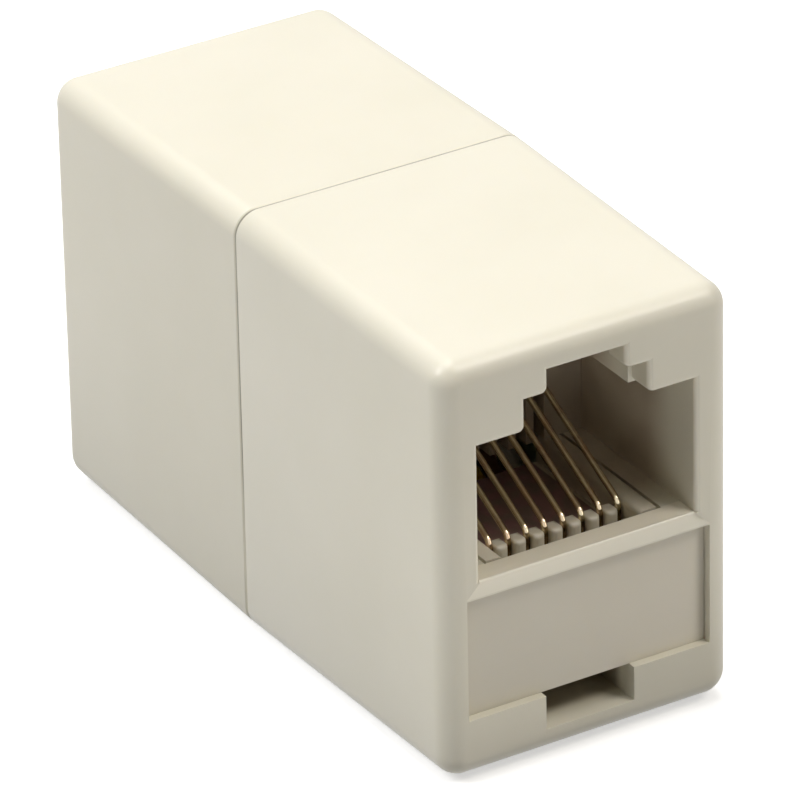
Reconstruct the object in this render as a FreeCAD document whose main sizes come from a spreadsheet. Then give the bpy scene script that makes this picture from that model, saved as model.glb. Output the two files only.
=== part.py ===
"""In-line 8P8C coupler: two identical half housings, each with a contact carrier and eight spring contacts.

X runs across the jack face, Y along the coupler from the front jack to the rear jack, Z up. The origin is
under the middle of the seam. "Depth" is the distance behind a half's own jack face, and the rear half is
the front half turned half a turn about Z.
"""
import FreeCAD
import Part
import Sketcher
import math
import os
import re

# name, millimetres (or a count or degrees), what it is
SIZES = [
    ("body_width", 16.2, "width of both halves at the seam"),
    ("body_height", 22.6, "height of both halves at the seam"),
    ("half_length", 18.2, "seam to jack face"),
    ("side_draft", 0.14, "how far each side leans in at the jack face"),
    ("roof_draft", 0.3, "how far the roof drops at the jack face"),
    ("base_draft", 0.3, "how far the base rises at the jack face"),
    ("long_radius", 1.25, "rounding of the four long edges"),
    ("face_radius", 1.1, "rounding round the jack face"),
    ("seam_bevel", 0.12, "bevel where the halves meet"),
    ("wall", 1.35, "roof and floor thickness at the jack face"),
    ("face_wall", 1.5, "thickness of the jack face"),
    ("jack_width", 11.9, "mouth for the plug"),
    ("jack_roof", 17.8, "height of the top of the plug's space"),
    ("jack_depth", 10.0, "jack face to the wall behind the plug"),
    ("back_wall", 1.5, "wall behind the plug"),
    ("latch_width", 6.74, "wide step of the keyway in the jack face"),
    ("latch_share", 0.579, "where the wide step ends, between the plug's roof and the narrow step's top"),
    ("tab_width", 4.22, "narrow step of the keyway in the jack face"),
    ("tab_height", 20.65, "height of the top of the narrow step"),
    ("channel_width", 6.3, "latch channel behind the jack face"),
    ("sill_height", 10.7, "height of the sill under the plug"),
    ("sill_thickness", 0.85, "sill bar, top to bottom"),
    ("sill_depth", 1.36, "sill bar, front to back"),
    ("sill_lean", 0.16, "how far the sill bar's front leans back at its top"),
    ("sill_foot", 0.08, "upright foot of the sill bar's front"),
    ("sill_round", 0.12, "rounding of the sill bar's upper front edge"),
    ("step_radius", 0.35, "rounding of the keyway's inward corners"),
    ("mouth_round", 0.3, "rounding round the jack mouth"),
    ("floor_gap_width", 9.76, "gap in the plug's floor that the carrier fills"),
    ("window_width", 13.4, "window in the jack face for the carrier"),
    ("rail_height", 3.45, "height of the rails that the carrier stands on"),
    ("notch_width", 4.9, "notch under the window"),
    ("lip_thickness", 0.6, "lap joint at the seam"),
    ("lip_length", 1.2, "how far the lap joint reaches into the other half"),
    ("lip_clear", 0.05, "play in the lap joint"),
    ("lip_end_gap", 0.4, "where the lap joint stops short of the middle"),
    ("guide_slot", 0.6, "width of the slots that guide the contacts' free ends"),
    ("guide_rise", 1.4, "slot left above a free end"),
    ("carrier_clear", 0.05, "play between carrier and housing"),
    ("carrier_recess", 0.45, "carrier's face behind the jack face"),
    ("carrier_length", 10.2, "carrier, front to back"),
    ("carrier_wall", 1.2, "carrier's floor and sides"),
    ("groove", 0.18, "line left round the carrier's deck"),
    ("trough_drop", 1.5, "trough in the deck under the contacts, below the sill"),
    ("trough_floor", 0.6, "thickness of the trough's floor"),
    ("trough_round", 0.3, "rounding of the trough's long edges"),
    ("comb_drop", 0.28, "comb below the sill"),
    ("comb_depth", 2.65, "jack face to the front of the comb"),
    ("comb_length", 0.9, "comb, front to back"),
    ("comb_slot", 0.42, "slots of the comb"),
    ("tooth_round", 0.27, "rounding of each tooth, up its front corners and over its top"),
    ("contact_count", 8, "contacts in each jack"),
    ("contact_pitch", 1.016, "contact to contact"),
    ("contact_diameter", 0.32, "spring wire"),
    ("contact_clear", 0.05, "contact to the bottom of its slot"),
    ("riser_depth", 3.08, "jack face to the upright leg of a contact"),
    ("rise_drop", 0.03, "height of a contact's upper corner below the sill"),
    ("rise_angle", 26.1, "slope of a contact's spring leg, degrees"),
    ("upper_bend", 0.55, "centre line radius of the upper bend"),
    ("lower_bend", 0.5, "centre line radius of the lower bend"),
    ("tail_height", 7.6, "height of the contacts' tails and leads"),
    ("tail_length", 3.3, "upright leg to crimp barrel"),
    ("barrel_length", 1.8, "crimp barrel"),
    ("barrel_diameter", 0.86, "crimp barrel"),
    ("lead_diameter", 0.9, "insulated lead"),
    ("lead_clear", 0.06, "lead to the ledge that it passes over"),
    ("lead_straight", 4.0, "straight run of a lead behind its crimp barrel"),
    ("lead_climb", 3.3, "length over which a lead changes its level"),
    ("lead_middle", 8.0, "height of the middle of the crossing"),
    ("lead_step", 1.15, "level to level in the crossing"),
]
SHEET = "Sizes"
BEND_SHARE = 0.45  # an arc of a lead takes this share of its shorter run
FRAME_SHARE = 0.8  # the most of the flat frame beside the mouth that its rounding may take
STEP_SHARE = 0.3  # the most of the narrow step's height that a rounding may take
SAME = 1e-4  # two places closer than this are one
HALVES = (("front", 0.0), ("rear", 180.0))

# heights and half widths that more than one piece uses
LATCH_HEIGHT = "(jack_roof + (tab_height - jack_roof) * latch_share)"
FLOOR = "base_draft + wall"
CEILING = "body_height - roof_draft - wall"
WINDOW_TOP = "sill_height - sill_thickness"
DECK_TOP = "sill_height - sill_thickness - carrier_clear"
CARRIER_HALF = "window_width / 2 - carrier_clear"
CARRIER_INNER = "window_width / 2 - carrier_clear - carrier_wall"
CARRIER_FLOOR = "rail_height + carrier_wall"
PLATFORM_HALF = "floor_gap_width / 2 - groove"
TROUGH_HALF = "((contact_count - 1) * contact_pitch + comb_slot) / 2"
TROUGH_BED = "sill_height - trough_drop"
TROUGH_UNDER = "sill_height - trough_drop - trough_floor"
ROOM_DEPTH = "jack_depth + back_wall"
FREE_END_DEPTH = "jack_depth + back_wall / 2"
SPRING_RUN = f"({FREE_END_DEPTH} - riser_depth)"
FREE_END_HEIGHT = f"sill_height - rise_drop + {SPRING_RUN} * tan(rise_angle * 1deg)"
BARREL_DEPTH = "riser_depth + tail_length"
LEAD_DEPTH = "riser_depth + tail_length + barrel_length"

doc = FreeCAD.newDocument("coupler")
sheet = doc.addObject("Spreadsheet::Sheet", SHEET)
for row, (alias, value, note) in enumerate(SIZES, start=1):
    sheet.set(f"A{row}", note)
    sheet.set(f"B{row}", str(value))
    sheet.setAlias(f"B{row}", alias)
doc.recompute()
ALIASES = {alias for alias, value, note in SIZES}


def in_sheet(formula):
    """The formula with each size written as the sheet's own cell."""
    return re.sub(r"[a-z_]+", lambda word: f"{SHEET}.{word[0]}" if word[0] in ALIASES else word[0], formula)


def tie(thing, path, formula):
    """Bind a property to a formula of the sheet's sizes."""
    thing.setExpression(path, in_sheet(formula))


def number(formula):
    """What a formula of sizes comes to now, in millimetres."""
    return float(sheet.evalExpression(in_sheet(formula)))


def origin_part(body, role):
    """A plane or axis of the body's own origin."""
    return next(part for part in body.Origin.OriginFeatures if part.Role == role)


def sketched(body, name, plane, corners):
    """A closed sketch of straight sides on a plane of the body, each corner held by two sizes."""
    sketch = body.newObject("Sketcher::SketchObject", name)
    sketch.AttachmentSupport = (origin_part(body, plane), [""])
    sketch.MapMode = "FlatFace"
    points = [FreeCAD.Vector(number(across), number(up), 0) for across, up in corners]
    count = len(points)
    for k in range(count):
        sketch.addGeometry(Part.LineSegment(points[k], points[(k + 1) % count]))
    for k in range(count):
        sketch.addConstraint(Sketcher.Constraint("Coincident", k, 2, (k + 1) % count, 1))
    for k, (across, up) in enumerate(corners):
        for kind, formula in (("DistanceX", across), ("DistanceY", up)):
            held = sketch.addConstraint(Sketcher.Constraint(kind, -1, 1, k, 1, number(formula)))
            tie(sketch, f"Constraints[{held}]", formula)
    return sketch


def outline(body, name, depth, corners):
    """A sketch parallel to the jack face and `depth` behind it."""
    sketch = sketched(body, name, "XZ_Plane", corners)
    tie(sketch, ".AttachmentOffset.Base.z", f"half_length - ({depth})")
    return sketch


def box(half_width, low, high):
    """The corners of a rectangle centred on X."""
    return [(f"-({half_width})", low), (half_width, low), (half_width, high), (f"-({half_width})", high)]


def mirrored(right):
    """A symmetric outline from the corners of its right side, bottom to top."""
    return right + [(f"-({across})", up) for across, up in reversed(right)]


def pad(body, name, depth, corners, length):
    """Material from `depth` back, away from the jack face."""
    feature = body.newObject("PartDesign::Pad", name)
    feature.Profile = outline(body, f"{name}_outline", depth, corners)
    feature.Reversed = True
    tie(feature, "Length", length)
    return feature


def pocket(body, name, depth, corners, length):
    """A cut from `depth` back, away from the jack face."""
    feature = body.newObject("PartDesign::Pocket", name)
    feature.Profile = outline(body, f"{name}_outline", depth, corners)
    tie(feature, "Length", length)
    return feature


def row_across(body, name, original):
    """Repeat a cut across the jack at the contacts' pitch."""
    feature = body.newObject("PartDesign::LinearPattern", name)
    feature.Originals = [original]
    feature.Direction = (origin_part(body, "X_Axis"), [""])
    tie(feature, "Length", "(contact_count - 1) * contact_pitch")
    tie(feature, "Occurrences", "contact_count")
    body.Tip = feature
    return feature


def rounded(body, name, wanted, radius):
    """Round the edges of the body so far that pass the test."""
    doc.recompute()
    last = body.Tip
    names = [f"Edge{k}" for k, edge in enumerate(last.Shape.Edges, start=1) if wanted(edge)]
    feature = body.newObject("PartDesign::Fillet", name)
    feature.Base = (last, names)
    tie(feature, "Radius", radius)
    return feature


def bevelled(body, name, wanted, size):
    """Bevel the edges of the body so far that pass the test."""
    doc.recompute()
    last = body.Tip
    names = [f"Edge{k}" for k, edge in enumerate(last.Shape.Edges, start=1) if wanted(edge)]
    feature = body.newObject("PartDesign::Chamfer", name)
    feature.Base = (last, names)
    tie(feature, "Size", size)
    return feature


def all_at(edge, direction, place):
    """Whether both ends of an edge lie at one place along a direction."""
    return all(abs(vertex.Point.dot(direction) - place) < SAME for vertex in edge.Vertexes)


X_WAY = FreeCAD.Vector(1, 0, 0)
Y_WAY = FreeCAD.Vector(0, 1, 0)
Z_WAY = FreeCAD.Vector(0, 0, 1)


def slot_row(body, name, depth, width, low, high, length):
    """One slot for each contact: the first is cut and the row repeats it."""
    first = "-(contact_count - 1) / 2 * contact_pitch"
    left = f"{first} - {width} / 2"
    right = f"{first} + {width} / 2"
    corners = [(left, low), (right, low), (right, high), (left, high)]
    return row_across(body, f"{name}_row", pocket(body, name, depth, corners, length))


def make_housing(half, turn):
    """A half housing: drafted shell, stepped jack mouth, window, rails, contact guides and lap joint."""
    body = doc.addObject("PartDesign::Body", f"housing_{half}")
    body.Placement.Rotation = FreeCAD.Rotation(Z_WAY, turn)

    shell = body.newObject("PartDesign::AdditiveWedge", f"shell_{half}")
    spans = {"Ymin": "-half_length", "Ymax": "0 * half_length",
             "Xmin": "side_draft - body_width / 2", "Xmax": "body_width / 2 - side_draft",
             "Zmin": "base_draft", "Zmax": "body_height - roof_draft",
             "X2min": "-body_width / 2", "X2max": "body_width / 2",
             "Z2min": "0 * half_length", "Z2max": "body_height"}
    for span, formula in spans.items():
        tie(shell, span, formula)

    face_place = -number("half_length")
    rounded(body, f"long_edges_{half}", lambda edge: not all_at(edge, Y_WAY, 0)
            and not all_at(edge, Y_WAY, face_place), "long_radius")
    rounded(body, f"face_edges_{half}", lambda edge: all_at(edge, Y_WAY, face_place), "face_radius")
    bevelled(body, f"seam_edges_{half}", lambda edge: all_at(edge, Y_WAY, 0), "seam_bevel")

    pocket(body, f"plug_space_{half}", "0", box("jack_width / 2", "sill_height", "jack_roof"), "jack_depth")
    keyway = mirrored([("latch_width / 2", "jack_roof"), ("latch_width / 2", LATCH_HEIGHT),
                       ("tab_width / 2", LATCH_HEIGHT), ("tab_width / 2", "tab_height")])
    pocket(body, f"keyway_{half}", "0", keyway, "face_wall")
    pocket(body, f"latch_channel_{half}", "face_wall", box("channel_width / 2", "jack_roof", "tab_height"),
           "jack_depth - face_wall")
    soften_mouth(body, half, face_place)
    pocket(body, f"carrier_bay_{half}", "0", box("window_width / 2", "rail_height", WINDOW_TOP), ROOM_DEPTH)
    lean_sill(body, half)
    pocket(body, f"notch_{half}", "0", box("notch_width / 2", FLOOR, "rail_height"), ROOM_DEPTH)
    pocket(body, f"floor_gap_{half}", "sill_depth", box("floor_gap_width / 2", WINDOW_TOP, "sill_height"),
           f"{ROOM_DEPTH} - sill_depth")
    pocket(body, f"wiring_room_{half}", ROOM_DEPTH, box("window_width / 2", FLOOR, CEILING),
           f"half_length - ({ROOM_DEPTH})")
    slot_row(body, f"guide_{half}", "jack_depth", "guide_slot", "sill_height",
             f"{FREE_END_HEIGHT} + guide_rise", "back_wall")
    make_lap_joint(body, half)
    return body


def soften_mouth(body, half, face_place):
    """Round the keyway's inward corners and the rim of the jack mouth, all but the sill."""
    inward = [(number("latch_width / 2"), number("jack_roof")),
              (number("tab_width / 2"), number(LATCH_HEIGHT))]
    frame_room = f"{FRAME_SHARE} * (body_width / 2 - side_draft - face_radius - jack_width / 2)"
    step_room = f"{STEP_SHARE} * (tab_height - {LATCH_HEIGHT})"

    def inward_corner(edge):
        """An edge of the keyway, through the jack face, that points into the opening."""
        return any(all_at(edge, X_WAY, side * across) and all_at(edge, Z_WAY, up)
                   for across, up in inward for side in (-1, 1))

    def rim(edge):
        """An edge of the jack mouth in the jack face, above the sill."""
        middle = edge.CenterOfMass
        inside = abs(middle.x) < number("jack_width / 2") + SAME
        in_mouth = number("sill_height") + SAME < middle.z < number("tab_height") + SAME
        return all_at(edge, Y_WAY, face_place) and inside and in_mouth

    rounded(body, f"keyway_corners_{half}", inward_corner, f"min(step_radius; {step_room})")
    rounded(body, f"mouth_rim_{half}", rim, f"min(mouth_round; {frame_room}; {step_room})")


def lean_sill(body, half):
    """Lean the front of the sill bar back, mitred into the columns beside it, and round its upper edge."""
    lean = body.newObject("PartDesign::SubtractiveWedge", f"sill_front_{half}")
    lean.Placement.Rotation = FreeCAD.Rotation(X_WAY, 90)  # its own Y is up and its own Z is out of the face
    spans = {"Ymin": "sill_height - sill_thickness + sill_foot", "Ymax": "sill_height",
             "Xmin": "-window_width / 2", "Xmax": "window_width / 2",
             "Zmin": "half_length", "Zmax": "half_length + sill_lean",
             "X2min": "-jack_width / 2", "X2max": "jack_width / 2",
             "Z2min": "half_length - sill_lean", "Z2max": "half_length + sill_lean"}
    for span, formula in spans.items():
        tie(lean, span, formula)
    edge_place = number("sill_lean - half_length")

    def sill_edge(edge):
        """The upper front edge of the sill bar."""
        return all_at(edge, Y_WAY, edge_place) and all_at(edge, Z_WAY, number("sill_height"))

    rounded(body, f"sill_edge_{half}", sill_edge, "sill_round")


def make_lap_joint(body, half):
    """A lip round one side of the seam and the rebate for the other half's lip round the other side."""
    inner = "window_width / 2"
    outer = "window_width / 2 + lip_thickness"
    lip = [("lip_end_gap", FLOOR), (inner, FLOOR), (inner, CEILING), ("lip_end_gap", CEILING),
           ("lip_end_gap", f"{CEILING} + lip_thickness"), (outer, f"{CEILING} + lip_thickness"),
           (outer, f"{FLOOR} - lip_thickness"), ("lip_end_gap", f"{FLOOR} - lip_thickness")]
    start = "-(lip_end_gap - lip_clear)"
    rim = "-(window_width / 2 + lip_thickness + lip_clear)"
    rim_top = f"{CEILING} + lip_thickness + lip_clear"
    rim_base = f"{FLOOR} - lip_thickness - lip_clear"
    rebate = [(start, FLOOR), (f"-({inner})", FLOOR), (f"-({inner})", CEILING), (start, CEILING),
              (start, rim_top), (rim, rim_top), (rim, rim_base), (start, rim_base)]
    pocket(body, f"rebate_{half}", "half_length - lip_length - lip_clear", rebate, "lip_length + lip_clear")
    root = "lip_length"  # the lip starts inside the half, where it is one with the wall
    pad(body, f"lip_{half}", f"half_length - {root}", lip, f"lip_length + {root}")


def make_carrier(half, turn):
    """A contact carrier: face panel, deck with its trough and comb, room and ledge under the leads."""
    body = doc.addObject("PartDesign::Body", f"carrier_{half}")
    body.Placement.Rotation = FreeCAD.Rotation(Z_WAY, turn)
    deck_start = "sill_depth + groove"
    rear_depth = "carrier_recess + carrier_length"
    pad(body, f"panel_{half}", "carrier_recess", box(CARRIER_HALF, "rail_height", DECK_TOP),
        f"{deck_start} - carrier_recess")
    block = mirrored([(CARRIER_HALF, "rail_height"), (CARRIER_HALF, DECK_TOP),
                      (PLATFORM_HALF, DECK_TOP), (PLATFORM_HALF, "sill_height"),
                      (TROUGH_HALF, "sill_height"), (TROUGH_HALF, TROUGH_BED)])
    pad(body, f"block_{half}", deck_start, block, f"{rear_depth} - ({deck_start})")
    trough_side = number(TROUGH_HALF)
    rounded(body, f"trough_{half}", lambda edge: all_at(edge, Z_WAY, number("sill_height"))
            and (all_at(edge, X_WAY, trough_side) or all_at(edge, X_WAY, -trough_side)), "trough_round")
    room_depth = "comb_depth + comb_length"
    pocket(body, f"room_{half}", room_depth, box(CARRIER_INNER, CARRIER_FLOOR, TROUGH_UNDER),
           f"{rear_depth} - ({room_depth})")
    ledge = box(CARRIER_INNER, CARRIER_FLOOR, "tail_height - lead_diameter / 2 - lead_clear")
    pad(body, f"ledge_{half}", f"{rear_depth} - carrier_wall", ledge, "carrier_wall")
    make_comb(body, half)
    return body


def make_comb(body, half):
    """The comb that stands in the trough, with a slot for each contact and its teeth rounded."""
    comb = box(TROUGH_HALF, TROUGH_BED, "sill_height - comb_drop")
    pad(body, f"comb_{half}", "comb_depth", comb, "comb_length")
    slot_row(body, f"slot_{half}", "comb_depth", "comb_slot",
             "tail_height - contact_diameter / 2 - contact_clear", "sill_height", "comb_length")
    comb_face = -number("half_length - comb_depth")
    comb_top = number("sill_height - comb_drop")

    def tooth_front(edge):
        """An edge at the front of a tooth, up a corner or along its top."""
        upright = all_at(edge, X_WAY, edge.Vertexes[0].Point.x)
        top = max(vertex.Point.z for vertex in edge.Vertexes)
        inside = all(abs(vertex.Point.x) < trough_side for vertex in edge.Vertexes)
        tooth = abs(top - comb_top) < SAME and (upright or all_at(edge, Z_WAY, comb_top))
        return tooth and inside and all_at(edge, Y_WAY, comb_face)

    trough_side = number(TROUGH_HALF) - SAME
    rounded(body, f"teeth_{half}", tooth_front, "tooth_round")


def round_path(points, radii):
    """Straight runs joined by tangent arcs: the edges of the path, in order."""
    edges = []
    start = points[0]
    for k in range(1, len(points) - 1):
        back = (points[k - 1] - points[k]).normalize()
        ahead = (points[k + 1] - points[k]).normalize()
        half_turn = (math.pi - back.getAngle(ahead)) / 2
        reach = radii[k - 1] * math.tan(half_turn)
        first = points[k] + back * reach
        last = points[k] + ahead * reach
        inward = (back + ahead).normalize()
        middle = points[k] + inward * (radii[k - 1] / math.cos(half_turn) - radii[k - 1])
        edges.append(Part.LineSegment(start, first))
        edges.append(Part.Arc(first, middle, last))
        start = last
    edges.append(Part.LineSegment(start, points[-1]))
    return edges


def widest_radii(points):
    """The radius of each bend of a lead: as large as its two runs allow."""
    radii = []
    for k in range(1, len(points) - 1):
        back = points[k - 1] - points[k]
        ahead = points[k + 1] - points[k]
        half_turn = (math.pi - back.getAngle(ahead)) / 2
        radii.append(BEND_SHARE * min(back.Length, ahead.Length) / math.tan(half_turn))
    return radii


def join(sketch, one, two):
    """Hold two neighbouring edges of a sketch end to end and tangent."""
    ends = ((a, b) for a in (1, 2) for b in (1, 2))
    a, b = next(pair for pair in ends
                if sketch.getPoint(one, pair[0]).distanceToPoint(sketch.getPoint(two, pair[1])) < SAME)
    sketch.addConstraint(Sketcher.Constraint("Tangent", one, a, two, b))


def make_contact_wire():
    """The bent spring wire of a contact, at the middle of the front jack."""
    corners = [(BARREL_DEPTH, "tail_height"), ("riser_depth", "tail_height"),
               ("riser_depth", "sill_height - rise_drop"), (FREE_END_DEPTH, FREE_END_HEIGHT)]
    points = [FreeCAD.Vector(number(f"{depth} - half_length"), number(up), 0) for depth, up in corners]
    spine = doc.addObject("Sketcher::SketchObject", "contact_spine")
    spine.Placement.Rotation = FreeCAD.Rotation(Y_WAY, Z_WAY, X_WAY, "ZXY")
    edges = round_path(points, [number("lower_bend"), number("upper_bend")])
    spine.addGeometry(edges)
    tail, lower, riser, upper, spring = range(len(edges))
    for one, two in zip(range(len(edges) - 1), range(1, len(edges))):
        join(spine, one, two)
    spine.addConstraint(Sketcher.Constraint("Horizontal", tail))
    spine.addConstraint(Sketcher.Constraint("Vertical", riser))
    held = [("DistanceX", (-1, 1, tail, 1), points[0].x, f"{BARREL_DEPTH} - half_length"),
            ("DistanceY", (-1, 1, tail, 1), points[0].y, "tail_height"),
            ("DistanceX", (-1, 1, riser, 1), points[1].x, "riser_depth - half_length"),
            ("Radius", (lower,), number("lower_bend"), "lower_bend"),
            ("Radius", (upper,), number("upper_bend"), "upper_bend"),
            ("DistanceX", (-1, 1, spring, 2), points[3].x, f"{FREE_END_DEPTH} - half_length"),
            ("DistanceY", (-1, 1, spring, 2), points[3].y, FREE_END_HEIGHT),
            ("Angle", (spring,), math.radians(number("rise_angle")), "rise_angle * 1deg")]
    for kind, places, value, formula in held:
        index = spine.addConstraint(Sketcher.Constraint(kind, *places, value))
        tie(spine, f"Constraints[{index}]", formula)

    section = doc.addObject("Part::Circle", "contact_section")
    tie(section, "Radius", "contact_diameter / 2")
    section.Placement.Rotation = FreeCAD.Rotation(X_WAY, 90)
    tie(section, ".Placement.Base.y", f"{BARREL_DEPTH} - half_length")
    tie(section, ".Placement.Base.z", "tail_height")
    wire = doc.addObject("Part::Sweep", "contact_wire")
    wire.Sections = [section]
    wire.Spine = (spine, [f"Edge{k}" for k in range(1, len(edges) + 1)])
    wire.Solid = True
    return wire


def make_barrel():
    """The crimp barrel on a contact's tail, at the middle of the front jack."""
    barrel = doc.addObject("Part::Cylinder", "crimp_barrel")
    tie(barrel, "Radius", "barrel_diameter / 2")
    tie(barrel, "Height", "barrel_length")
    barrel.Placement.Rotation = FreeCAD.Rotation(X_WAY, -90)
    tie(barrel, ".Placement.Base.y", f"{BARREL_DEPTH} - half_length")
    tie(barrel, ".Placement.Base.z", "tail_height")
    return barrel


def make_contact(half, turn, place, parts):
    """One contact at its place across the jack, counted from the left of its own jack face."""
    contact = doc.addObject("Part::MultiFuse", f"contact_{half}_{place + 1}")
    contact.Shapes = parts
    contact.Placement.Rotation = FreeCAD.Rotation(Z_WAY, turn)
    side = 1 if turn == 0 else -1
    tie(contact, ".Placement.Base.x", f"{side} * ({place} - (contact_count - 1) / 2) * contact_pitch")
    return contact


def make_lead(place):
    """The insulated lead between contacts of one number: it climbs to its own level to cross the others."""
    lane = number(f"({place} - (contact_count - 1) / 2) * contact_pitch")
    level = number(f"lead_middle + ({place} - (contact_count - 1) / 2) * lead_step")
    tail = number("tail_height")
    start = number(f"half_length - ({LEAD_DEPTH})")
    leave = start - number("lead_straight")
    cross = leave - number("lead_climb")
    near = [FreeCAD.Vector(lane, -start, tail), FreeCAD.Vector(lane, -leave, tail),
            FreeCAD.Vector(lane, -cross, level)]
    far = [FreeCAD.Vector(-point.x, -point.y, point.z) for point in reversed(near)]
    points = near + far
    radii = widest_radii(points)
    path = Part.Wire([edge.toShape() for edge in round_path(points, radii)])
    radius = number("lead_diameter") / 2
    section = Part.Wire(Part.Circle(points[0], Y_WAY, radius).toShape())
    lead = doc.addObject("Part::Feature", f"lead_{place + 1}")
    lead.Shape = path.makePipeShell([section], True, False)
    expected = math.pi * radius ** 2 * path.Length
    print(f"{lead.Label}: length {path.Length:.2f}, least bend radius {min(radii):.2f}, "
          f"volume {lead.Shape.Volume:.3f} for {expected:.3f}")
    return lead


def checked(objects):
    """Stop unless every object of the document recomputed and every sub-part is one sound solid."""
    failed = [thing.Label for thing in doc.Objects if {"Invalid", "Error"} & set(thing.State)]
    unsound = [thing.Label for thing in objects
               if thing.Shape.isNull() or not thing.Shape.isValid() or len(thing.Shape.Solids) != 1]
    if failed or unsound:
        raise RuntimeError(f"failed: {failed}; unsound: {unsound}")
    return objects


contact_parts = [make_contact_wire(), make_barrel()]
nodes = []
for half, turn in HALVES:
    nodes.append(make_housing(half, turn))
    nodes.append(make_carrier(half, turn))
    for place in range(int(number("contact_count"))):
        nodes.append(make_contact(half, turn, place, contact_parts))
for place in range(int(number("contact_count"))):
    nodes.append(make_lead(place))
doc.recompute()

os.makedirs("parts", exist_ok=True)
for node in checked(nodes):
    print(f"{node.Label}: {node.Shape.Volume:.3f} mm3")
    node.Shape.exportStep(f"parts/{node.Label}.step")
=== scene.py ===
"""Finishes and studio for an in-line coupler: moulded halves, contact carriers, spring contacts and leads.

Lengths are in millimetres where nothing else is said, and MM turns them to the scene's metres.
"""

import logging
import math
from dataclasses import dataclass, field
from enum import Enum
from typing import Any

import bmesh
import bpy
from mathutils import Matrix, Vector


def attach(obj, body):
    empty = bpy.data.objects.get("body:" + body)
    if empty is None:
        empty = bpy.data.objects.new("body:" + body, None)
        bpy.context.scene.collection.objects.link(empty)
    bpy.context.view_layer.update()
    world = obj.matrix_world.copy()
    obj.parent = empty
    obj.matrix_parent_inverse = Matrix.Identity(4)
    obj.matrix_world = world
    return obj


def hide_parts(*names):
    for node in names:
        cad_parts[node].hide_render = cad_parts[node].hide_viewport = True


Material = bpy.types.Material
Socket = bpy.types.NodeSocket
Tree = bpy.types.NodeTree
Triple = tuple[float, float, float]
Pair = tuple[float, float]

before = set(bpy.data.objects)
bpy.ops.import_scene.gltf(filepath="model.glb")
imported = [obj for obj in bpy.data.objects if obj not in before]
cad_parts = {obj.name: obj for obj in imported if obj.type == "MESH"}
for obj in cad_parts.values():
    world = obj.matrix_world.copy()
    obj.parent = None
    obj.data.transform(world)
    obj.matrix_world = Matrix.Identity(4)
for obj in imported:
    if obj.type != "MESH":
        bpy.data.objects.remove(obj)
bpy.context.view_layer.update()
MM = 0.001
log = logging.getLogger("coupler")


class Half(Enum):
    """The two halves of the coupler, with the turn about Z that takes the front half to each."""

    FRONT = ("front", 0.0)
    REAR = ("rear", math.pi)

    @property
    def label(self) -> str:
        """The half's name in the frame."""
        return self.value[0]

    @property
    def turn(self) -> Matrix:
        """The turn that places a piece made for the front half."""
        return Matrix.Rotation(self.value[1], 4, "Z")


def linear(colour: str) -> tuple[float, float, float, float]:
    """Turn a colour to what a shader socket holds.

    Args:
        colour: sRGB as six hex digits.

    Returns:
        Linear red, green and blue, and an alpha of 1.
    """
    values = [int(colour[k:k + 2], 16) / 255 for k in (0, 2, 4)]
    red, green, blue = (v / 12.92 if v <= 0.04045 else ((v + 0.055) / 1.055) ** 2.4 for v in values)
    return red, green, blue, 1.0


def add(tree: Tree, kind: str, inputs: dict[Any, Any] | None = None,
        **settings: Any) -> bpy.types.Node:
    """Add a node with its settings and links.

    Args:
        tree: The tree that gets the node.
        kind: The node's type.
        inputs: A value or an output socket for each input, by name or place.
        **settings: Properties of the node.

    Returns:
        The new node.
    """
    node = tree.nodes.new(kind)
    for name, value in settings.items():
        setattr(node, name, value)
    for name, value in (inputs or {}).items():
        if isinstance(value, Socket):
            tree.links.new(value, node.inputs[name])
        else:
            node.inputs[name].default_value = value
    return node


def fresh_material(name: str) -> tuple[Material, Tree]:
    """Make an empty node material.

    Args:
        name: Its name.

    Returns:
        The material and its node tree.
    """
    material = bpy.data.materials.new(name)
    material.use_nodes = True
    material.node_tree.nodes.clear()
    return material, material.node_tree


def noise(tree: Tree, place: Socket, size: float, detail: float) -> Socket:
    """Add a noise pattern of a real size.

    Args:
        tree: The tree that gets the nodes.
        place: The place on the object.
        size: The pattern's coarsest grain in millimetres.
        detail: How many finer octaves it has.

    Returns:
        The pattern, from 0 to 1.
    """
    return add(tree, "ShaderNodeTexNoise", {"Vector": place, "Scale": 1 / (size * MM),
                                            "Detail": detail}).outputs["Fac"]


def ramp(tree: Tree, value: Socket, start_end: Pair, to: Pair = (0.0, 1.0),
         smooth: bool = False) -> Socket:
    """Turn one range of a value into another, held at the ends.

    Args:
        tree: The tree that gets the nodes.
        value: The value.
        start_end: The range that it comes from.
        to: The range that it goes to.
        smooth: Whether the ends are eased.

    Returns:
        The new value.
    """
    inputs = {"Value": value, "From Min": start_end[0], "From Max": start_end[1],
              "To Min": to[0], "To Max": to[1]}
    easing = "SMOOTHSTEP" if smooth else "LINEAR"
    return add(tree, "ShaderNodeMapRange", inputs, interpolation_type=easing).outputs["Result"]


def mixed(tree: Tree, share: Socket, base: Any, other: Any) -> Socket:
    """Mix two colours.

    Args:
        tree: The tree that gets the nodes.
        share: How much of the other colour shows.
        base: A linear colour or a colour socket.
        other: The same.

    Returns:
        The mixed colour.
    """
    base_place, other_place, result_place = 6, 7, 2  # the colour sockets among those of the Mix node
    return add(tree, "ShaderNodeMix", {"Factor": share, base_place: base, other_place: other},
               data_type="RGBA").outputs[result_place]


def times(tree: Tree, one: Socket, two: Socket) -> Socket:
    """Multiply two values."""
    return add(tree, "ShaderNodeMath", {0: one, 1: two}, operation="MULTIPLY").outputs["Value"]


def either(tree: Tree, one: Socket, two: Socket) -> Socket:
    """Take the larger of two values, which is 1 where either is."""
    return add(tree, "ShaderNodeMath", {0: one, 1: two}, operation="MAXIMUM").outputs["Value"]


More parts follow.
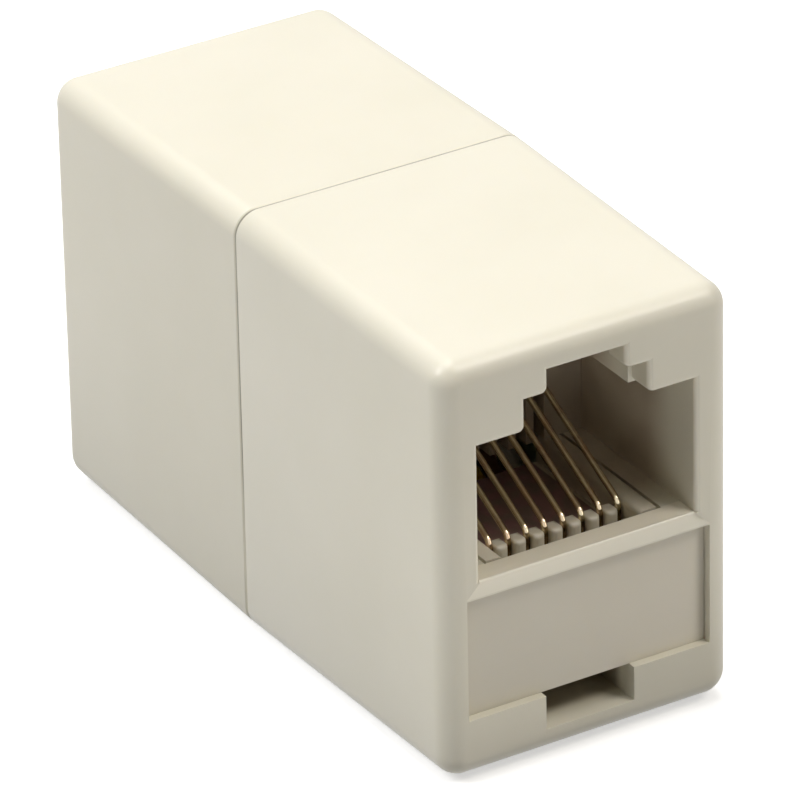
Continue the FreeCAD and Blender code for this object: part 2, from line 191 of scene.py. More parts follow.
def bump(tree: Tree, height: Socket, depth: float, under: Socket | None = None) -> Socket:
    """Raise a pattern on the surface.

    Args:
        tree: The tree that gets the nodes.
        height: The pattern.
        depth: Its depth in millimetres.
        under: The normal of a coarser pattern under it.

    Returns:
        The new normal.
    """
    inputs: dict[str, Any] = {"Height": height, "Distance": depth * MM, "Strength": 1.0}
    if under is not None:
        inputs["Normal"] = under
    return add(tree, "ShaderNodeBump", inputs).outputs["Normal"]


@dataclass(frozen=True)
class PaintedShading:
    """A place where shade or light is painted into the plastic's colour: a box on the distances from the
    middle planes.
    """

    colour: str
    other: str  # the painted shading drifts between these two colours
    low: Triple
    high: Triple
    soft: Triple  # how far it fades beyond its box
    drift: float  # how far apart its changes lie
    thinnest: float = 1.0  # its strength where it is weakest
    blend: Pair = (0.4, 0.6)  # noise levels between which one colour passes into the other
    patches: Pair = (0.35, 0.65)  # noise levels of its weakest and strongest places

    def mask(self, tree: Tree, folded: Socket) -> Socket:
        """Build the box's mask.

        Args:
            tree: The tree that gets the nodes.
            folded: The place on the object with its signs dropped.

        Returns:
            A value of 1 inside the box and 0 outside.
        """
        parts = add(tree, "ShaderNodeSeparateXYZ", {"Vector": folded}).outputs
        product = None
        for axis, (low, high, soft) in enumerate(zip(self.low, self.high, self.soft)):
            for edge, outer in ((low, low - soft), (high, high + soft)):
                step = ramp(tree, parts[axis], (outer * MM, edge * MM), smooth=True)
                product = step if product is None else times(tree, product, step)
        return product

    def over(self, tree: Tree, place: Socket, tone: Socket) -> Socket:
        """Lay the painted shading over a colour.

        Args:
            tree: The tree that gets the nodes.
            place: The place on the object.
            tone: The colour so far.

        Returns:
            The colour with the painted shading.
        """
        folded = add(tree, "ShaderNodeVectorMath", {0: place}, operation="ABSOLUTE").outputs["Vector"]
        patch = noise(tree, place, self.drift, detail=1.0)
        paint = mixed(tree, ramp(tree, patch, self.blend), linear(self.colour), linear(self.other))
        weight = ramp(tree, patch, self.patches, (self.thinnest, 1.0))
        return mixed(tree, times(tree, self.mask(tree, folded), weight), tone, paint)


@dataclass(frozen=True)
class MouldedPlastic:
    """An injection-moulded plastic: the satin skin of a finely eroded mould, with faint signs of flow."""

    name: str
    colour: str
    shade: str  # the slightly deeper tone that the flow leaves in places
    roughness: float
    glow: float  # share of the light that enters and comes out again
    glow_reach: float  # how far it travels
    grain: float = 0.16  # the eroded skin is nearer 0.03, and is drawn coarser so that it shows
    grain_depth: float = 0.0012
    wave: float = 5.0  # between the soft hollows that shrinkage leaves
    wave_depth: float = 0.012
    flow: float = 7.0  # over which the flow's tone changes
    flow_levels: Pair = (0.35, 0.7)  # noise levels of the two tones
    spread: float = 0.05  # how far the roughness strays to each side
    ior: float = 1.53  # ABS
    glow_tint: Triple = (1.0, 0.78, 0.5)  # red travels farthest
    # painted shade and light, laid over the colour
    painted_shading: tuple[PaintedShading, ...] = ()

    def material(self) -> Material:
        """Make the material.

        Returns:
            A procedural plastic on object coordinates.
        """
        material, tree = fresh_material(self.name)
        place = add(tree, "ShaderNodeTexCoord").outputs["Object"]
        flow = ramp(tree, noise(tree, place, self.flow, detail=3.0), self.flow_levels)
        tone = mixed(tree, flow, linear(self.colour), linear(self.shade))
        for shading_box in self.painted_shading:
            tone = shading_box.over(tree, place, tone)
        grain = noise(tree, place, self.grain, detail=2.0)
        hollow = bump(tree, noise(tree, place, self.wave, detail=1.0), self.wave_depth)
        skin = bump(tree, grain, self.grain_depth, hollow)
        sheen = ramp(tree, grain, (0.0, 1.0), (self.roughness - self.spread, self.roughness + self.spread))
        surface = add(tree, "ShaderNodeBsdfPrincipled", {
            "Base Color": tone, "Roughness": sheen, "Normal": skin, "IOR": self.ior,
            "Subsurface Weight": self.glow, "Subsurface Radius": self.glow_tint,
            "Subsurface Scale": self.glow_reach * MM})
        add(tree, "ShaderNodeOutputMaterial", {"Surface": surface.outputs["BSDF"]})
        return material


@dataclass(frozen=True)
class PlatedWire:
    """Gold-plated phosphor bronze wire: bright, with fine drawing lines, and copper shows in places."""

    name: str
    colour: str
    bare: str  # where the plating is thin
    roughness: float
    spread: Pair = (-0.04, 0.05)  # how far the roughness strays along the lines
    leg_painted_shade: str = "6E5C44"  # painted shade: the legs are darker below the bend, where they go down into the comb's slots
    leg_shade_heights: Pair = (10.2, 10.4)  # above the base, where the painted shade on the legs fades out
    line: float = 0.05  # between drawing lines
    line_depth: float = 0.001
    line_share: float = 0.12  # a drawing line's width as a share of its length
    wear: float = 1.4  # between worn places
    wear_levels: Pair = (0.45, 0.75)  # noise levels of sound and worn plating

    def material(self) -> Material:
        """Make the material.

        Returns:
            A procedural metal on object coordinates.
        """
        material, tree = fresh_material(self.name)
        place = add(tree, "ShaderNodeTexCoord").outputs["Object"]
        stretch = (1.0, self.line_share, self.line_share)
        along = add(tree, "ShaderNodeMapping", {"Vector": place, "Scale": stretch})
        lines = noise(tree, along.outputs["Vector"], self.line, detail=2.0)
        worn = ramp(tree, noise(tree, place, self.wear, detail=3.0), self.wear_levels)
        plated = mixed(tree, worn, linear(self.colour), linear(self.bare))
        height = add(tree, "ShaderNodeSeparateXYZ", {"Vector": place}).outputs["Z"]
        lowest, highest = self.leg_shade_heights
        # painted shade on the legs below the upper bend
        leg_shade_mask = ramp(tree, height, (lowest * MM, highest * MM), (1.0, 0.0))
        smoothest, roughest = (self.roughness + spread for spread in self.spread)
        surface = add(tree, "ShaderNodeBsdfPrincipled", {
            "Base Color": mixed(tree, leg_shade_mask, plated, linear(self.leg_painted_shade)), "Metallic": 1.0,
            "Roughness": ramp(tree, lines, (0.0, 1.0), (smoothest, roughest)),
            "Normal": bump(tree, lines, self.line_depth)})
        add(tree, "ShaderNodeOutputMaterial", {"Surface": surface.outputs["BSDF"]})
        return material


@dataclass(frozen=True)
class Insulation:
    """Extruded PVC over a stranded lead: soft gloss, with the faint lay of the strands under the skin."""

    name: str
    colour: str
    shade: str
    mottle: float = 1.2  # between paler and darker places
    roughness: Pair = (0.32, 0.5)
    ior: float = 1.54  # PVC
    lays: float = 0.35  # how often a strand passes, for each millimetre
    lay_depth: float = 0.006

    def material(self) -> Material:
        """Make the material.

        Returns:
            A procedural PVC on object coordinates.
        """
        material, tree = fresh_material(self.name)
        place = add(tree, "ShaderNodeTexCoord").outputs["Object"]
        mottle = noise(tree, place, self.mottle, detail=2.0)
        strands = add(tree, "ShaderNodeTexWave", {"Vector": place, "Scale": self.lays / MM,
                                                  "Distortion": 1.0}, bands_direction="DIAGONAL")
        surface = add(tree, "ShaderNodeBsdfPrincipled", {
            "Base Color": mixed(tree, mottle, linear(self.colour), linear(self.shade)),
            "Roughness": ramp(tree, mottle, (0.0, 1.0), self.roughness), "IOR": self.ior,
            "Normal": bump(tree, strands.outputs["Fac"], self.lay_depth)})
        add(tree, "ShaderNodeOutputMaterial", {"Surface": surface.outputs["BSDF"]})
        return material


def new_piece(name: str, mesh: bpy.types.Mesh) -> bpy.types.Object:
    """Put a mesh in the scene as a piece.

    Args:
        name: The piece's name.
        mesh: Its mesh, in place.

    Returns:
        The object.
    """
    piece = bpy.data.objects.new(name, mesh)
    mesh.name = name
    bpy.context.scene.collection.objects.link(piece)
    return piece


def baked(piece: bpy.types.Object) -> bpy.types.Mesh:
    """Turn a piece and its modifiers into a plain mesh.

    Args:
        piece: The object with modifiers.

    Returns:
        The evaluated mesh.
    """
    bpy.context.view_layer.update()
    graph = bpy.context.evaluated_depsgraph_get()
    return bpy.data.meshes.new_from_object(piece.evaluated_get(graph), preserve_all_data_layers=True,
                                           depsgraph=graph)


@dataclass(frozen=True)
class Comb:
    """The comb of a carrier, whose teeth close in on the wires a touch more than the frame's."""

    pitch: float = 1.016
    wires: int = 8
    cut: float = 0.21  # half the frame's slot
    slot: float = 0.172  # half the slot that shows
    front: float = 2.6  # depths behind the jack face
    back: float = 3.6
    lowest: float = 7.3  # height above the base
    slack: float = 0.005  # how far short of the frame's slot a corner may lie

    def close(self, shape: bmesh.types.BMesh, half_length: float) -> None:
        """Widen the teeth between the wires.

        Args:
            shape: The carrier's solid.
            half_length: From the seam to the jack face.
        """
        middle = self.pitch / 2
        outermost = (self.wires - 1) * middle
        share = (middle - self.slot) / (middle - self.cut)
        for vertex in shape.verts:
            depth, across = half_length - abs(vertex.co.y) / MM, vertex.co.x / MM
            if not self.front < depth < self.back or vertex.co.z < self.lowest * MM:
                continue
            wire = (math.floor(across / self.pitch) + 0.5) * self.pitch
            reach = abs(across - wire)
            if abs(across) <= outermost and reach > self.cut - self.slack:
                reach = middle - (middle - reach) * share
                vertex.co.x = (wire + math.copysign(reach, across - wire)) * MM


@dataclass
class MouldedPiece:
    """A moulded piece: the frame's solid, with the small radius that a mould leaves on each corner.

    Edges that plugs and fingers rub are rounder, and may take a lighter, glossier copy of the finish: a
    painted highlight.
    """

    node: str
    name: str
    slot: str
    corner: float = 0.06
    rubbed_corner: float = 0.09
    zone: Triple | None = None  # of the rubbed edges: two depths behind the jack face, lowest height
    comb: Comb | None = None
    half_length: float = 18.2
    sharp: float = math.radians(35)
    flat: float = math.radians(0.3)  # faces nearer to each other's plane than this are one
    merge: float = 1e-4  # corners nearer than this are one
    steps: int = 3  # faces across a rounded corner
    rim_depth: float = 0.45  # the rim and the sill's front lie no deeper than this
    rim_half_width: float = 6.3
    rim_heights: Pair = (9.8, 21.2)
    rim_slant: Pair = (0.05, 0.88)  # how far a curved face of the rim turns to the jack's axis
    sill_top: float = 10.8
    sill_slant: Pair = (0.1, 0.5)  # how far the sill's leaning front turns upwards

    def behind_face(self, place: Vector) -> float:
        """How far a place lies behind its jack face, in millimetres."""
        return self.half_length - abs(place.y) / MM

    def weigh(self, shape: bmesh.types.BMesh) -> None:
        """Give the sharp convex edges that get rubbed their bevel weight.

        Args:
            shape: The solid.
        """
        weight = shape.edges.layers.float.new("bevel_weight_edge")
        nearest, deepest, lowest = self.zone
        for edge in shape.edges:
            if len(edge.link_faces) != 2 or not edge.is_convex:
                continue
            inside = all(nearest <= self.behind_face(vertex.co) <= deepest
                         and vertex.co.z >= lowest * MM for vertex in edge.verts)
            if inside and edge.calc_face_angle() > self.sharp:
                edge[weight] = 1.0

    def round_off(self, rough: bpy.types.Object, name: str, width: float, method: str) -> bpy.types.Modifier:
        """Add a bevel.

        Args:
            rough: The object that gets it.
            name: The modifier's name.
            width: The bevel's width.
            method: What picks the edges.

        Returns:
            The modifier.
        """
        bevel = rough.modifiers.new(name, "BEVEL")
        bevel.width = width * MM
        bevel.segments = self.steps
        bevel.limit_method = method
        bevel.angle_limit = self.sharp
        bevel.use_clamp_overlap = True
        bevel.harden_normals = True
        return bevel

    def mesh(self) -> bpy.types.Mesh:
        """Round the solid's corners.

        Returns:
            The mesh of the piece.
        """
        shape = bmesh.new()
        shape.from_mesh(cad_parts[self.node].data)
        bmesh.ops.remove_doubles(shape, verts=shape.verts, dist=self.merge * MM)
        bmesh.ops.dissolve_limit(shape, angle_limit=self.flat, verts=shape.verts, edges=shape.edges)
        for face in shape.faces:
            face.material_index = 0
        if self.comb:
            self.comb.close(shape, self.half_length)
        if self.zone:
            self.weigh(shape)
        mesh = bpy.data.meshes.new(f"{self.name}_raw")
        shape.to_mesh(mesh)
        shape.free()
        mesh.materials.clear()
        mesh.materials.append(None)
        mesh.materials.append(None)
        rough = new_piece(f"{self.name}_raw", mesh)
        # the faces of this bevel take the second slot, the lighter finish: a painted highlight
        if self.zone:
            self.round_off(rough, "highlight_finish", self.rubbed_corner, "WEIGHT").material = 1
        self.round_off(rough, "corner", self.corner, "ANGLE")
        mesh.shade_smooth()
        result = baked(rough)
        bpy.data.objects.remove(rough)
        return result

    def paint_highlight(self, mesh: bpy.types.Mesh) -> None:
        """Give the curved rim of the mouth and the leaning front of the sill the lighter finish: a painted
        highlight.

        Args:
            mesh: The rounded mesh.
        """
        lowest, highest = self.rim_heights
        for face in mesh.polygons:
            place, way = face.center, face.normal
            outside = abs(place.x) > self.rim_half_width * MM or place.z < lowest * MM
            if outside or self.behind_face(place) > self.rim_depth:
                continue
            curved = self.rim_slant[0] < abs(way.y) < self.rim_slant[1] and place.z < highest * MM
            leaning = self.sill_slant[0] < way.z < self.sill_slant[1] and place.z < self.sill_top * MM
            # these faces take the lighter finish, a painted highlight
            if curved or leaning:
                face.material_index = 1

    def build(self, material: Material, highlight_finish: Material | None = None) -> bpy.types.Object:
        """Make the piece and dress it.

        Args:
            material: Its finish.
            highlight_finish: The lighter finish of its rubbed edges, a painted highlight.

        Returns:
            The piece, riding on the body.
        """
        mesh = self.mesh()
        mesh.materials.clear()
        mesh.materials.append(material)
        if highlight_finish is None:
            mesh.polygons.foreach_set("material_index", [0] * len(mesh.polygons))
        else:
            mesh.materials.append(highlight_finish)
            self.paint_highlight(mesh)
        piece = new_piece(self.name, mesh)
        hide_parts(self.node)
        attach(piece, "root")
        return piece


@dataclass
class ContactRow:
    """Eight spring contacts of one jack: bent wires in a row, each with a crimp barrel on its tail."""

    half: Half
    count: int = 8
    pitch: float = 1.016
    wire: float = 0.16  # its radius
    riser_depth: float = 3.08  # depths are from the jack face
    upper_height: float = 10.67
    tail_height: float = 7.6
    tail_lap: float = 0.3  # how far the tail reaches into its barrel
    barrel_depth: float = 6.38
    barrel_length: float = 1.8
    barrel_radius: float = 0.43
    free_depth: float = 10.75
    slope: float = math.radians(26.1)
    lower_bend: float = 0.5
    upper_bend: float = 0.55
    half_length: float = 18.2
    bend_steps: int = 14
    wire_sides: int = 20
    barrel_sides: int = 24
    barrel_steps: int = 17
    mouth: float = 0.9  # the barrel's two ends, as a share of its radius
    crimps: tuple[Pair, ...] = (  # places along the barrel, and the share there: two waists
        (0.08, 1.0), (0.28, 0.86), (0.5, 1.0), (0.72, 0.86), (0.92, 1.0))
    crease: float = math.radians(50)

    def spine(self) -> bpy.types.Mesh:
        """Make the corners of the wire's centre line, from the barrel to the free end.

        Returns:
            Edges at the middle of the front jack, each vertex with its bend radius.
        """
        rise = (self.free_depth - self.riser_depth) * math.tan(self.slope)
        corners = [(self.barrel_depth + self.tail_lap, self.tail_height, 0.0),
                   (self.riser_depth, self.tail_height, self.lower_bend),
                   (self.riser_depth, self.upper_height, self.upper_bend),
                   (self.free_depth, self.upper_height + rise, 0.0)]
        mesh = bpy.data.meshes.new("contact_spine")
        points = [(0.0, (depth - self.half_length) * MM, height * MM) for depth, height, bend in corners]
        mesh.from_pydata(points, [(0, 1), (1, 2), (2, 3)], [])
        bends = mesh.attributes.new("bend", "FLOAT", "POINT")
        bends.data.foreach_set("value", [bend * MM for depth, height, bend in corners])
        return mesh

    def tree(self, material: Material) -> Tree:
        """Build the tree that bends one wire, adds its barrel and repeats both at the pitch.

        Args:
            material: The finish of the wires.

        Returns:
            The node tree, with its sizes as named inputs in metres.
        """
        tree = bpy.data.node_groups.new("contact_row", "GeometryNodeTree")
        face = tree.interface
        face.new_socket("Geometry", in_out="INPUT", socket_type="NodeSocketGeometry")
        for name in ("Pitch", "Wire Radius", "Barrel Radius", "Barrel Start", "Barrel Length",
                     "Barrel Height"):
            face.new_socket(name, in_out="INPUT", socket_type="NodeSocketFloat")
        face.new_socket("Count", in_out="INPUT", socket_type="NodeSocketInt")
        face.new_socket("Geometry", in_out="OUTPUT", socket_type="NodeSocketGeometry")
        given = add(tree, "NodeGroupInput").outputs

        path = add(tree, "GeometryNodeMeshToCurve", {"Mesh": given["Geometry"]})
        bend = add(tree, "GeometryNodeInputNamedAttribute", {"Name": "bend"}, data_type="FLOAT")
        bent = add(tree, "GeometryNodeFilletCurve", {
            "Curve": path.outputs["Curve"], "Count": self.bend_steps,
            "Radius": bend.outputs["Attribute"]}, mode="POLY")
        ring = add(tree, "GeometryNodeCurvePrimitiveCircle", {"Resolution": self.wire_sides,
                                                                "Radius": given["Wire Radius"]})
        wire = add(tree, "GeometryNodeCurveToMesh", {
            "Curve": bent.outputs["Curve"], "Profile Curve": ring.outputs["Curve"], "Fill Caps": True})

        run = add(tree, "GeometryNodeCurvePrimitiveLine", {"Start": (0, 0, 0), "End": (0, 1, 0)})
        steps = add(tree, "GeometryNodeResampleCurve", {"Curve": run.outputs["Curve"],
                                                        "Count": self.barrel_steps})
        along = add(tree, "GeometryNodeSplineParameter").outputs["Factor"]
        shape = add(tree, "ShaderNodeFloatCurve", {"Value": along})
        points = shape.mapping.curves[0].points
        points[0].location = (0.0, self.mouth)
        points[1].location = (1.0, self.mouth)
        for place in self.crimps:
            points.new(*place)
        shape.mapping.update()
        collar = add(tree, "GeometryNodeCurvePrimitiveCircle", {"Resolution": self.barrel_sides,
                                                                "Radius": given["Barrel Radius"]})
        barrel = add(tree, "GeometryNodeCurveToMesh", {
            "Curve": steps.outputs["Curve"], "Fill Caps": True, "Profile Curve": collar.outputs["Curve"],
            "Scale": shape.outputs["Value"]})
        size = add(tree, "ShaderNodeCombineXYZ", {"X": 1.0, "Y": given["Barrel Length"], "Z": 1.0})
        spot = add(tree, "ShaderNodeCombineXYZ", {"Y": given["Barrel Start"], "Z": given["Barrel Height"]})
        seated = add(tree, "GeometryNodeTransform", {
            "Geometry": barrel.outputs["Mesh"], "Scale": size.outputs["Vector"],
            "Translation": spot.outputs["Vector"]})

        contact = add(tree, "GeometryNodeJoinGeometry")
        tree.links.new(wire.outputs["Mesh"], contact.inputs[0])
        tree.links.new(seated.outputs["Geometry"], contact.inputs[0])
        step = add(tree, "ShaderNodeCombineXYZ", {"X": given["Pitch"]})
        row = add(tree, "GeometryNodeMeshLine", {"Count": given["Count"],
                                                 "Offset": step.outputs["Vector"]},
                  mode="OFFSET", count_mode="TOTAL")
        gaps = add(tree, "ShaderNodeMath", {0: given["Count"], 1: 1.0}, operation="SUBTRACT")
        width = times(tree, gaps.outputs["Value"], given["Pitch"])
        left = add(tree, "ShaderNodeMath", {0: width, 1: -0.5}, operation="MULTIPLY")
        start = add(tree, "ShaderNodeCombineXYZ", {"X": left.outputs["Value"]})
        tree.links.new(start.outputs["Vector"], row.inputs["Start Location"])
        copies = add(tree, "GeometryNodeInstanceOnPoints", {"Points": row.outputs["Mesh"],
                                                            "Instance": contact.outputs["Geometry"]})
        real = add(tree, "GeometryNodeRealizeInstances", {"Geometry": copies.outputs["Instances"]})
        dressed = add(tree, "GeometryNodeSetMaterial", {"Geometry": real.outputs["Geometry"],
                                                        "Material": material})
        add(tree, "NodeGroupOutput", {"Geometry": dressed.outputs["Geometry"]})
        return tree

    def build(self, material: Material) -> bpy.types.Object:
        """Make the row and put it in its jack.

        Args:
            material: The finish of the wires.

        Returns:
            One piece that stands for the eight contacts.
        """
        draft = new_piece(f"contact_draft_{self.half.label}", self.spine())
        tree = self.tree(material)
        maker = draft.modifiers.new("row", "NODES")
        maker.node_group = tree
        given = {"Pitch": self.pitch * MM, "Wire Radius": self.wire * MM,
                 "Barrel Radius": self.barrel_radius * MM,
                 "Barrel Start": (self.barrel_depth - self.half_length) * MM,
                 "Barrel Length": self.barrel_length * MM, "Barrel Height": self.tail_height * MM,
                 "Count": self.count}
        for socket in tree.interface.items_tree:
            if socket.item_type == "SOCKET" and socket.in_out == "INPUT" and socket.name in given:
                maker[socket.identifier] = given[socket.name]
        draft.update_tag()
        mesh = baked(draft)
        bpy.data.objects.remove(draft)
        mesh.transform(self.half.turn)
        mesh.shade_smooth()
        mesh.set_sharp_from_angle(angle=self.crease)
        piece = new_piece(f"contact_row_{self.half.label}", mesh)
        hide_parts(*[f"contact_{self.half.label}_{k}" for k in range(1, self.count + 1)])
        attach(piece, "root")
        return piece


@dataclass
class Harness:
    """The eight insulated leads between the jacks, one colour to a number."""

    finishes: list[Insulation] = field(default_factory=lambda: [
        Insulation("pvc_blue", "1D4A9C", "183E86"), Insulation("pvc_orange", "E8741E", "D4640F"),
        Insulation("pvc_black", "1C1C1E", "131315"), Insulation("pvc_red", "B3201C", "9A1815"),
        Insulation("pvc_green", "217A3A", "1A662F"), Insulation("pvc_yellow", "EAC22A", "D8AE1B"),
        Insulation("pvc_brown", "6B4226", "5A361E"), Insulation("pvc_white", "E9E7DF", "DAD7CC")])

    def dress(self) -> None:
        """Give each lead of the frame its own finish."""
        for number, finish in enumerate(self.finishes, start=1):
            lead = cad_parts[f"lead_{number}"]
            lead.data.materials.clear()
            lead.data.materials.append(finish.material())


@dataclass(frozen=True)
class Lamp:
    """A soft square lamp that faces the object: its place and side in metres, and its watts."""

    name: str
    place: Triple
    size: float
    watts: float
    colour: str = "FFFFFF"


@dataclass(frozen=True)
class View:
    """A camera that looks at the object from one side: angles in degrees."""

    azimuth: float = -30.8003  # 0 looks at the front jack, and a minus turns the camera to the left
    elevation: float = 28.5279
    roll: float = -1.2291
    target: Triple = (0.7795, 0.0, 10.0025)
    distance: float = 389.76
    sensor: float = 36.0
    lens: float = 363.231
    nearest: float = 10.0  # nothing nearer than this is seen

    def stand(self) -> None:
        """Stand the camera and make it the scene's own."""
        azimuth, elevation = math.radians(self.azimuth), math.radians(self.elevation)
        roll = math.radians(self.roll)
        back = Vector((math.sin(azimuth) * math.cos(elevation), -math.cos(azimuth) * math.cos(elevation),
                       math.sin(elevation)))
        right = Vector((math.cos(azimuth), math.sin(azimuth), 0.0))
        up = back.cross(right)
        turned = right * math.cos(roll) + up * math.sin(roll)
        upward = up * math.cos(roll) - right * math.sin(roll)
        spot = Vector(self.target) * MM + back * self.distance * MM
        data = bpy.data.cameras.new("camera")
        data.sensor_width = self.sensor
        data.lens = self.lens
        data.clip_start = self.nearest * MM
        camera = bpy.data.objects.new("camera", data)
        camera.matrix_world = Matrix(((turned.x, upward.x, back.x, spot.x),
                                      (turned.y, upward.y, back.y, spot.y),
                                      (turned.z, upward.z, back.z, spot.z), (0.0, 0.0, 0.0, 1.0)))
        bpy.context.scene.collection.objects.link(camera)
        bpy.context.scene.camera = camera


@dataclass
class Studio:
    """A pale table with soft lamps and the camera: lengths in metres.

    Nothing but the lamps lights the object, with what the white card round it throws back up.
    """

    table_radius: float = 1.5
    table_sides: int = 96
    paint: str = "F4F4F4"
    white_from: Pair = (0.06, 0.16)  # where the table passes into plain white
    card_start: Pair = (0.02, 0.04)
    card_end: Pair = (0.08, 0.11)
    card_shares: Pair = (0.36, 0.88)  # how much it throws back inside its start and beyond it
    shadow_floor: float = 0.5  # how light the table still looks where no light falls
    aim: float = 0.010  # the height that the lamps face
    lamps: tuple[Lamp, ...] = (
        Lamp("key", (-0.45, 0.12, 0.50), 0.30, 2.55),
        Lamp("fill", (0.31, -0.35, 0.60), 0.28, 1.85, "FFFAF2"),
        Lamp("low", (0.38, -0.44, 0.16), 0.30, 0.33, "FFF8EE"),
        Lamp("ceiling", (0.0, 0.0, 0.80), 0.50, 2.45),
        Lamp("rear", (0.0, 0.35, 0.75), 0.60, 2.1))

    def make_world(self) -> None:
        """Surround the scene with white where it is seen or mirrored; the lamps alone give light."""
        world = bpy.data.worlds.new("studio")
        bpy.context.scene.world = world
        world.use_nodes = True
        tree = world.node_tree
        tree.nodes.clear()
        rays = add(tree, "ShaderNodeLightPath").outputs
        mirrored = either(tree, rays["Is Glossy Ray"], rays["Is Transmission Ray"])
        glow = add(tree, "ShaderNodeBackground", {"Color": linear("FFFFFF"),
                                                  "Strength": either(tree, rays["Is Camera Ray"], mirrored)})
        add(tree, "ShaderNodeOutputWorld", {"Surface": glow.outputs["Background"]})

    def make_table(self) -> bpy.types.Object:
        """Make the pale table top: white where it is seen, with the object's shadow.

        To light it is a card round the object, and to mirrors it is white.

        Returns:
            The table.
        """
        shape = bmesh.new()
        bmesh.ops.create_circle(shape, cap_ends=True, segments=self.table_sides, radius=self.table_radius)
        mesh = bpy.data.meshes.new("table")
        shape.to_mesh(mesh)
        shape.free()
        table = new_piece("table", mesh)
        material, tree = fresh_material("painted_table")
        rays = add(tree, "ShaderNodeLightPath").outputs
        place = add(tree, "ShaderNodeTexCoord").outputs["Object"]
        reach = add(tree, "ShaderNodeVectorMath", {0: place}, operation="LENGTH").outputs["Value"]

        share = times(tree, ramp(tree, reach, self.card_start, self.card_shares, smooth=True),
                      ramp(tree, reach, self.card_end, (1.0, 0.0), smooth=True))
        card = add(tree, "ShaderNodeCombineColor", {"Red": share, "Green": share, "Blue": share})
        bounce = add(tree, "ShaderNodeBsdfDiffuse", {"Color": card.outputs["Color"]})

        paint = add(tree, "ShaderNodeBsdfDiffuse", {"Color": linear(self.paint)})
        lift = add(tree, "ShaderNodeEmission", {"Color": linear("FFFFFF"), "Strength": self.shadow_floor})
        top = add(tree, "ShaderNodeAddShader", {0: paint.outputs["BSDF"], 1: lift.outputs["Emission"]})
        blank = add(tree, "ShaderNodeEmission", {"Color": linear("FFFFFF"), "Strength": 1.0})
        seen = add(tree, "ShaderNodeMixShader", {"Fac": ramp(tree, reach, self.white_from, smooth=True),
                                                 1: top.outputs["Shader"], 2: blank.outputs["Emission"]})

        mirrored = either(tree, rays["Is Glossy Ray"], rays["Is Transmission Ray"])
        lit = add(tree, "ShaderNodeMixShader", {"Fac": rays["Is Camera Ray"], 1: bounce.outputs["BSDF"],
                                                2: seen.outputs["Shader"]})
        whole = add(tree, "ShaderNodeMixShader", {"Fac": mirrored, 1: lit.outputs["Shader"],
                                                  2: blank.outputs["Emission"]})
        add(tree, "ShaderNodeOutputMaterial", {"Surface": whole.outputs["Shader"]})
        mesh.materials.append(material)
        return table

    def hang(self, lamp: Lamp) -> None:
        """Hang one soft lamp.

        Args:
            lamp: The lamp.
        """
        data = bpy.data.lights.new(lamp.name, "AREA")
        data.shape = "SQUARE"
        data.size = lamp.size
        data.energy = lamp.watts
        data.color = linear(lamp.colour)[:3]
        light = bpy.data.objects.new(lamp.name, data)
        light.location = lamp.place
        down = Vector((0.0, 0.0, self.aim)) - Vector(lamp.place)
        light.rotation_euler = down.to_track_quat("-Z", "Y").to_euler()
        bpy.context.scene.collection.objects.link(light)

    def build(self) -> None:
        """Set up the table, light and camera."""
        self.make_world()
        self.make_table()
        for lamp in self.lamps:
            self.hang(lamp)
        View().stand()
        bpy.context.scene.view_settings.view_transform = "Standard"


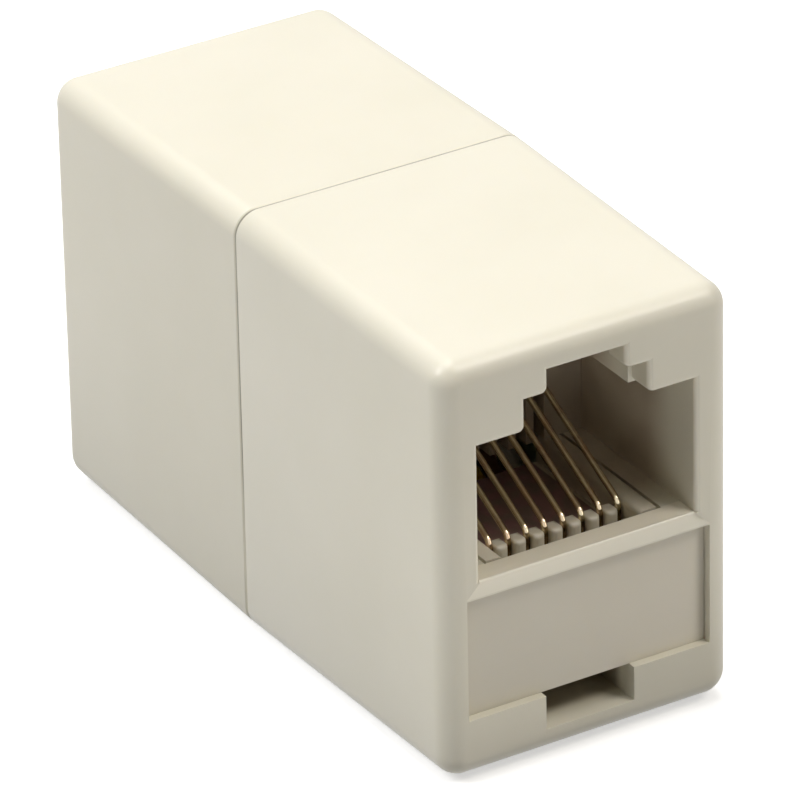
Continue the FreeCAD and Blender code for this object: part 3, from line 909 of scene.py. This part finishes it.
@dataclass(frozen=True)
class Plastics:
    """The coupler's plastics: the moulded ABS of the halves and of the carriers.

    The places of their painted shade and light are distances from the middle planes, so both jacks get the
    same.
    """

    # painted shade in the seam between the halves, darker towards the top
    seam_painted_shade: PaintedShading = PaintedShading("544D3F", "8C8473", low=(-1.0, -1.0, 11.0), high=(9.0, 0.05, 23.0),
                             soft=(0.1, 0.03, 8.0), drift=7.5, thinnest=0.4)
    # painted shade: the skin is darker and greyer deep in the jack
    jack_painted_shade: PaintedShading = PaintedShading("C0B3A2", "B8AB9A", low=(-1.0, 7.0, 8.0), high=(6.3, 13.7, 19.0),
                        soft=(0.2, 2.6, 0.3), drift=3.0, thinnest=0.8)
    # painted shade in the tunnel under the carrier's panel
    tunnel_painted_shade: PaintedShading = PaintedShading("948A78", "8C826E", low=(-1.0, 11.0, 0.7), high=(2.6, 16.4, 3.6),
                          soft=(0.1, 0.8, 0.1), drift=2.0, thinnest=0.8)
    # painted light: the top of the sill is made paler, standing in for the light that falls on it
    sill_top: PaintedShading = PaintedShading("F2EBD9", "EFE8D6", low=(-1.0, 16.8, 10.62), high=(5.92, 18.04, 10.8),
                            soft=(0.04, 0.04, 0.04), drift=3.0)
    # painted shade: the bed of the trough, between and under the wires, is darker and purple-brown
    trough_painted_shade: PaintedShading = PaintedShading("94686A", "8A746C", low=(-1.0, 7.0, 8.4), high=(3.5, 12.6, 10.3),
                       soft=(0.1, 2.4, 0.15), drift=1.3, thinnest=0.85)
    # painted shade: the carrier's rear is darker and greyer, as deep in the jack
    rear: PaintedShading = PaintedShading("C0B3A2", "B8AB9A", low=(-1.0, 7.0, 8.0), high=(6.3, 11.4, 19.0),
                        soft=(0.2, 2.6, 0.3), drift=3.0, thinnest=0.8)

    def housing(self) -> Material:
        """Make the halves' ABS: ivory, a satin skin, and a little light travels under it."""
        # the painted shade and light of the halves
        painted_shading = (self.jack_painted_shade, self.tunnel_painted_shade, self.sill_top, self.seam_painted_shade)
        return MouldedPlastic("ivory_abs", "E2DDCC", "DFDAC8", roughness=0.34, glow=0.10, glow_reach=0.6,
                              painted_shading=painted_shading).material()

    def highlight_finish(self) -> Material:
        """Make a lighter, glossier copy of the same ABS for the rubbed edges: a painted highlight, with a
        smoother skin.
        """
        return MouldedPlastic("ivory_abs_highlight", "F2EDDC", "F0EAD8", roughness=0.24, glow=0.10,
                              glow_reach=0.6).material()

    def carrier(self) -> Material:
        """Make the carriers' ABS: thinner walls, so a touch greyer and clearer than the halves."""
        return MouldedPlastic("carrier_abs", "DCD6C6", "D8D1C1", roughness=0.4, glow=0.2, glow_reach=0.5,
                              painted_shading=(self.rear, self.trough_painted_shade)).material()


def dress_half(half: Half, plastics: tuple[Material, ...], gold: Material) -> None:
    """Build and report the pieces of one half of the coupler.

    Args:
        half: The half.
        plastics: The finishes of the housing, the lighter copy for its rubbed edges (a painted highlight)
            and the carrier.
        gold: The finish of the contacts.
    """
    ivory, highlight_ivory, carrier_ivory = plastics
    # every edge within 2 mm of the jack face is rounder, and its rounding takes the painted highlight
    shell = MouldedPiece(f"housing_{half.label}", f"shell_{half.label}", "housing_plastic",
                         zone=(0.0, 2.0, 0.0))
    # the teeth of the comb are moulded round
    body = MouldedPiece(f"carrier_{half.label}", f"carrier_body_{half.label}", "carrier_plastic",
                        corner=0.045, rubbed_corner=0.2, zone=(2.6, 3.6, 9.3), comb=Comb())
    for piece in (shell.build(ivory, highlight_ivory), body.build(carrier_ivory), ContactRow(half).build(gold)):
        log.info("%s: %d faces", piece.name, len(piece.data.polygons))


def main() -> None:
    """Build the pieces in order and report each."""
    logging.basicConfig(level=logging.INFO, format="%(name)s: %(message)s")
    plastics = Plastics()
    finishes = (plastics.housing(), plastics.highlight_finish(), plastics.carrier())
    # gold over phosphor bronze: warm bright wire
    gold = PlatedWire("gold_plated_bronze", "DACDAE", "C8A68A", roughness=0.12).material()
    for half in Half:
        dress_half(half, finishes, gold)
    Harness().dress()
    log.info("leads dressed")
    Studio().build()


if __name__ == "__main__":
    main()
